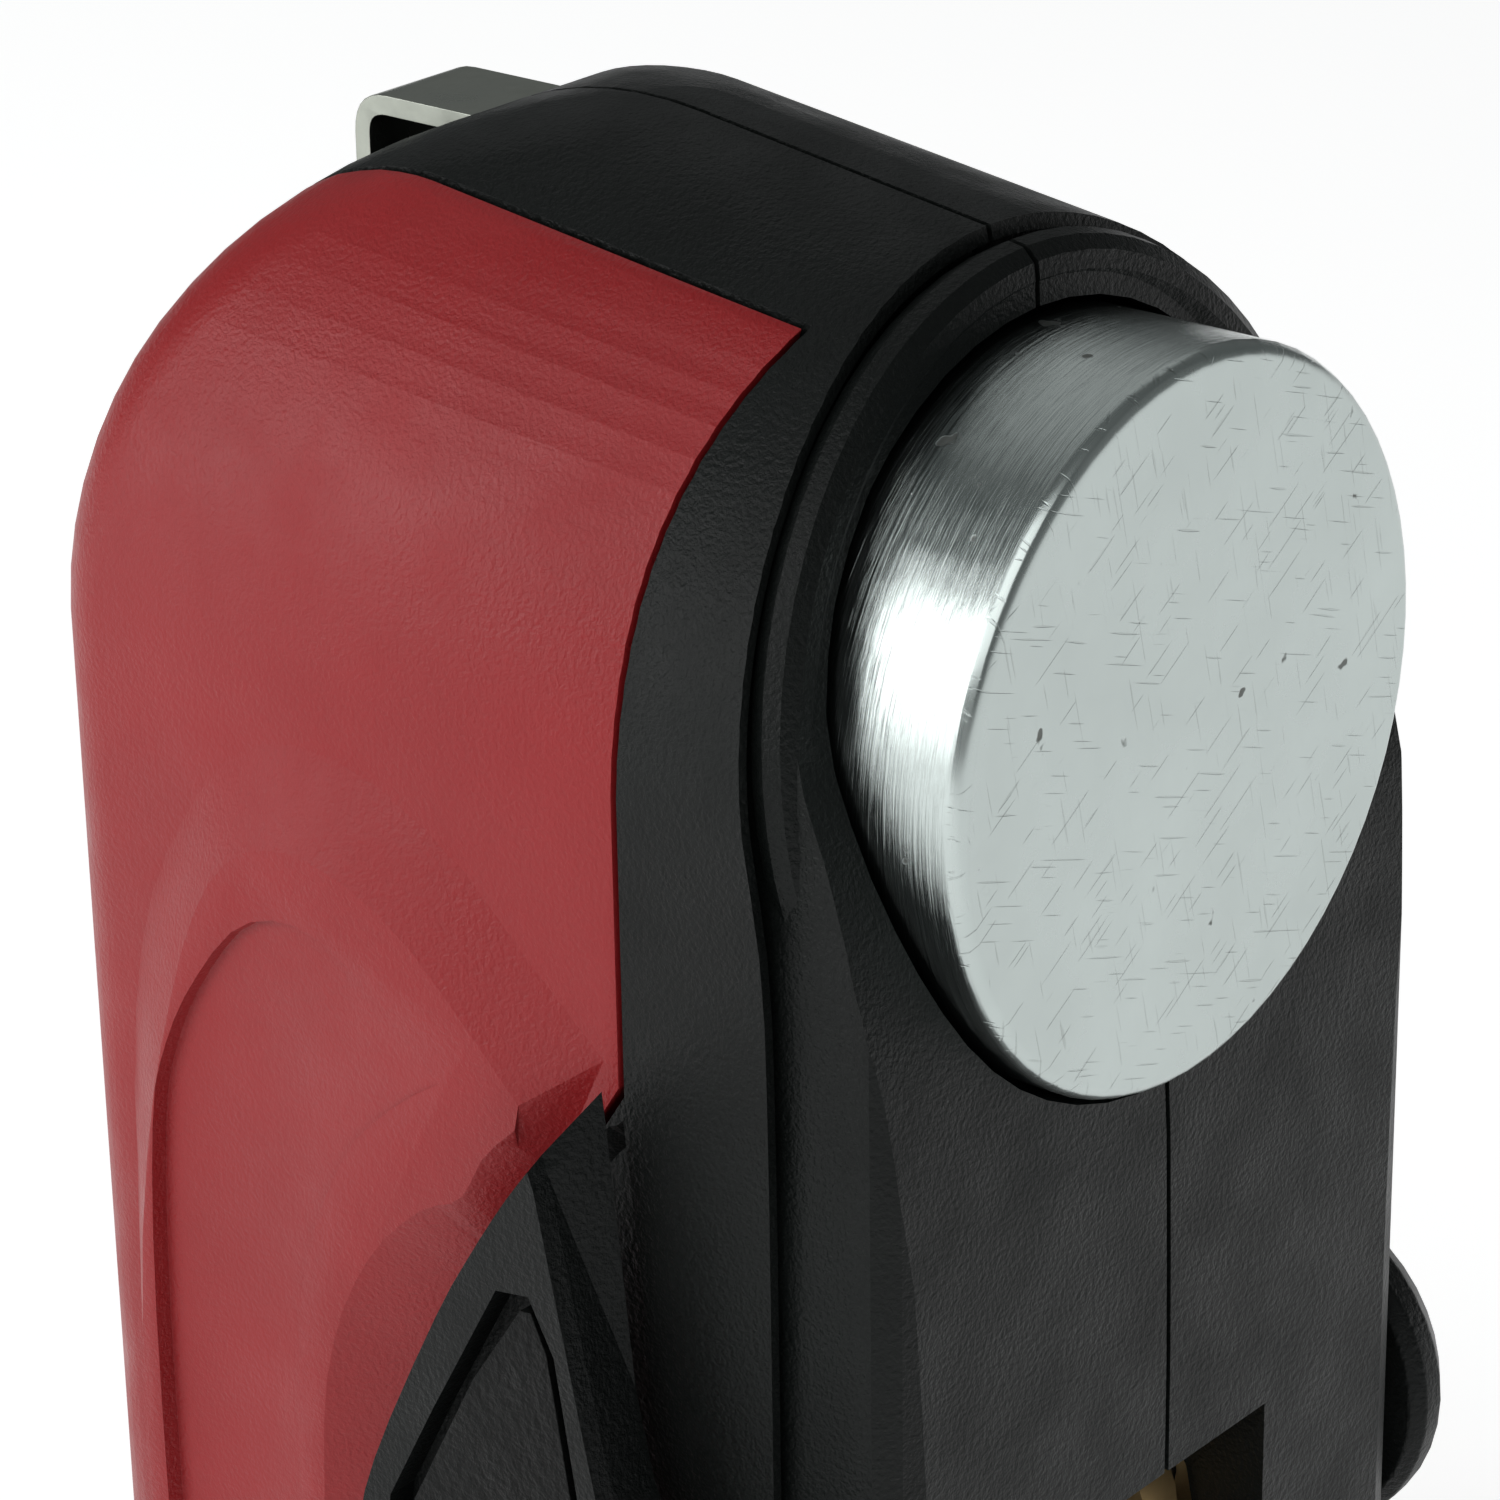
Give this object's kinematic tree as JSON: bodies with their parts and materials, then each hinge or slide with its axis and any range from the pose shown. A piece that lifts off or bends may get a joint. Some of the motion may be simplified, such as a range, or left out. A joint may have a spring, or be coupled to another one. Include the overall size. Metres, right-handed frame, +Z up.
{
  "type": "welding magnet holder",
  "caption": "Hand-held welding magnet holder: a plated round magnet in an arched two-shell housing, drawn back behind the chin by a side lever through a rack and pinion.",
  "frame": {"origin": "centre of the magnet's face with the lever at on", "axes": "-Y out of the magnet's face, +Z up along the housing to its round top, -X towards the lever"},
  "size_m": [0.0529, 0.0478, 0.1018],
  "materials": {
    "black_plastic": "fine spark-eroded grain",
    "black_lever": "fine grain, smoother edges",
    "red_plastic": "matte moulded",
    "plated_steel": "nickel plated over turning marks, fine scratches",
    "strap_steel": "zinc plated sheet",
    "plain_steel": "machined",
    "magnet_grey": "sintered",
    "bronze": "sintered bronze",
    "black_rubber": "coarse texture"
  },
  "bodies": {
    "housing": {"left_shell": "black_plastic", "right_shell": "black_plastic", "left_cover": "red_plastic", "right_cover": "red_plastic", "brake_ball": "plated_steel", "brake_spring": "plain_steel", "spring_cup": "bronze", "left_bush": "bronze", "right_bush": "bronze", "hanging_strap": "strap_steel", "foot_pad": "black_rubber", "shell_screw_1": "plain_steel", "shell_screw_2": "plain_steel", "shell_screw_3": "plain_steel", "shell_screw_4": "plain_steel"},
    "magnet": {"magnet_cup": "plated_steel", "magnet_core": "magnet_grey", "carriage": "plain_steel", "carriage_screw": "plain_steel"},
    "switch": {"lever": "black_lever", "lever_pad": "black_rubber", "lever_screw": "plain_steel", "hub_cap": "black_lever", "shaft": "plain_steel", "pinion": "plain_steel", "stop_wheel": "bronze"}
  },
  "joints": [
    {"name": "lever_turn", "type": "hinge", "parent": "housing", "child": "switch", "pos_m": [0, 0.0096, -0.042], "axis": [-1, 0, 0], "range_deg": [0, 60]},
    {"name": "magnet_slide", "type": "slide", "parent": "housing", "child": "magnet", "axis": [0, 1, 0], "range_m": [0, 0.00419]}
  ],
  "couplings": [
    {"joint": "lever_turn", "follows": "magnet_slide", "rad_per_m": 250}
  ]
}
